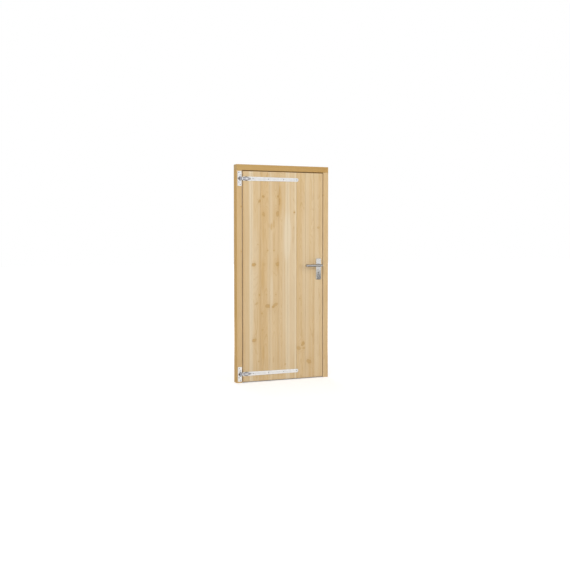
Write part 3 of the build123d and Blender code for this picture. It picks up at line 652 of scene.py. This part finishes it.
def make_floor():
    size = 30.0
    square = [(-size, -size, 0), (size, -size, 0), (size, size, 0), (-size, size, 0)]
    data = bpy.data.meshes.new("floor")
    data.from_pydata(square, [], [(0, 1, 2, 3)])
    floor = bpy.data.objects.new("floor", data)
    floor.location = (0.475, 0.0, 0.0)
    bpy.context.scene.collection.objects.link(floor)
    material = bpy.data.materials.new("floor_white")
    material.use_nodes = True
    tree = material.node_tree
    tree.nodes.clear()
    diffuse = add(tree, "ShaderNodeBsdfDiffuse", {"Color": (0.80, 0.80, 0.80, 1.0)})
    place = add(tree, "ShaderNodeTexCoord").outputs["Object"]
    lift = span(tree, vector_node(tree, "LENGTH", place), 0.9, 2.6, 0.42, 1.0)
    # Painted shade: the floor glows less within a few centimetres of wood, as under the closed leaf
    open_sky = add(tree, "ShaderNodeAmbientOcclusion", {"Distance": 0.035}, samples=8).outputs["AO"]
    lift = math_node(tree, "MULTIPLY", lift, span(tree, open_sky, 0.12, 0.45, 0.30, 1.0))
    strength = math_node(tree, "MULTIPLY", camera_white(tree), lift)
    glow = add(tree, "ShaderNodeEmission", {"Color": (1.0, 1.0, 1.0, 1.0), "Strength": strength})
    both = add(tree, "ShaderNodeAddShader")
    tree.links.new(diffuse.outputs[0], both.inputs[0])
    tree.links.new(glow.outputs[0], both.inputs[1])
    output = add(tree, "ShaderNodeOutputMaterial")
    tree.links.new(both.outputs[0], output.inputs["Surface"])
    data.materials.append(material)


def make_world():
    """White to the camera, a soft light to matt surfaces, and to gloss a white that darkens overhead."""
    world = bpy.data.worlds.new("studio")
    bpy.context.scene.world = world
    world.use_nodes = True
    tree = world.node_tree
    tree.nodes.clear()
    direction = add(tree, "ShaderNodeTexCoord").outputs["Generated"]
    height = add(tree, "ShaderNodeSeparateXYZ", {0: direction}).outputs[2]
    overhead = span(tree, height, 0.45, 0.95, 1.0, 0.25)
    path = add(tree, "ShaderNodeLightPath")
    matt = math_node(tree, "SUBTRACT", 1.0, camera_white(tree))
    gloss = math_node(tree, "MULTIPLY", path.outputs["Is Glossy Ray"], overhead)
    clear = math_node(tree, "MAXIMUM", path.outputs["Is Camera Ray"], path.outputs["Is Transmission Ray"])
    strength = math_node(tree, "ADD", math_node(tree, "MAXIMUM", gloss, clear),
                         math_node(tree, "MULTIPLY", matt, soft_light))
    back = add(tree, "ShaderNodeBackground", {"Color": (1.0, 1.0, 1.0, 1.0), "Strength": strength})
    output = add(tree, "ShaderNodeOutputWorld")
    tree.links.new(back.outputs[0], output.inputs["Surface"])


def studio_flag(name, corners, grey=flag_black):
    """A dark card that only reflections see, as photographers hang to draw an edge on bright metal."""
    data = bpy.data.meshes.new(name)
    data.from_pydata(corners, [], [tuple(range(len(corners)))])
    flag = bpy.data.objects.new(name, data)
    bpy.context.scene.collection.objects.link(flag)
    material = bpy.data.materials.new(name)
    material.use_nodes = True
    shader = material.node_tree.nodes["Principled BSDF"]
    shader.inputs["Base Color"].default_value = (grey, grey, grey, 1.0)
    shader.inputs["Roughness"].default_value = 0.9
    data.materials.append(material)
    flag.visible_camera = False
    flag.visible_diffuse = False
    flag.visible_transmission = False
    flag.visible_shadow = False


def level_flag(name, x, y, grey=flag_black):
    """A level card below the lock, between two places in x and two in y."""
    corners = [(x[0], y[0]), (x[1], y[0]), (x[1], y[1]), (x[0], y[1])]
    studio_flag(name, [(cx, cy, flag_height) for cx, cy in corners], grey)


def area_light(name, place, target, size, power, colour=(1.0, 1.0, 1.0)):
    data = bpy.data.lights.new(name, "AREA")
    data.shape = "DISK"
    data.size = size
    data.energy = power
    data.color = colour
    light = bpy.data.objects.new(name, data)
    light.location = place
    light.rotation_euler = (Vector(target) - Vector(place)).to_track_quat("-Z", "Y").to_euler()
    light.visible_glossy = False
    bpy.context.scene.collection.objects.link(light)


def make_camera():
    data = bpy.data.cameras.new("camera")
    data.sensor_width = 36.0
    data.lens = 51.14
    data.shift_y = -0.03
    data.clip_end = 200.0
    camera = bpy.data.objects.new("camera", data)
    camera.location = (-2.4555, -7.3298, 1.4115)
    camera.rotation_euler = (math.radians(87.694), 0.0, math.radians(-22.03))
    bpy.context.scene.collection.objects.link(camera)
    bpy.context.scene.camera = camera


make_floor()
make_world()
area_light("key", (-3.0, -4.4, 3.9), (0.5, 0.0, 1.1), 4.6, 122.0, (1.0, 0.985, 0.96))
area_light("fill", (3.4, -3.8, 2.4), (0.4, 0.0, 1.0), 3.6, 57.0, (1.0, 0.99, 0.975))
area_light("back", (1.0, 4.0, 3.2), (0.5, 0.0, 1.0), 2.6, 60.0)
level_flag("low_flag", (0.8, 1.5), (-0.25, -1.4))
level_flag("outer_flag", (-2.6, 0.8), (-0.15, -3.4), flag_grey)
studio_flag("far_flag", [(4.0, -11.8, 0.0), (7.6, -10.2, 0.0), (7.6, -10.2, 0.50), (4.0, -11.8, 0.50)])
level_flag("inner_flag", (-1.5, 2.4), (0.3, 3.4), flag_grey)
make_camera()

bpy.context.scene.view_settings.view_transform = "Standard"


def corners(bounds):
    return [[float(v) for v in corner] for corner in bounds]
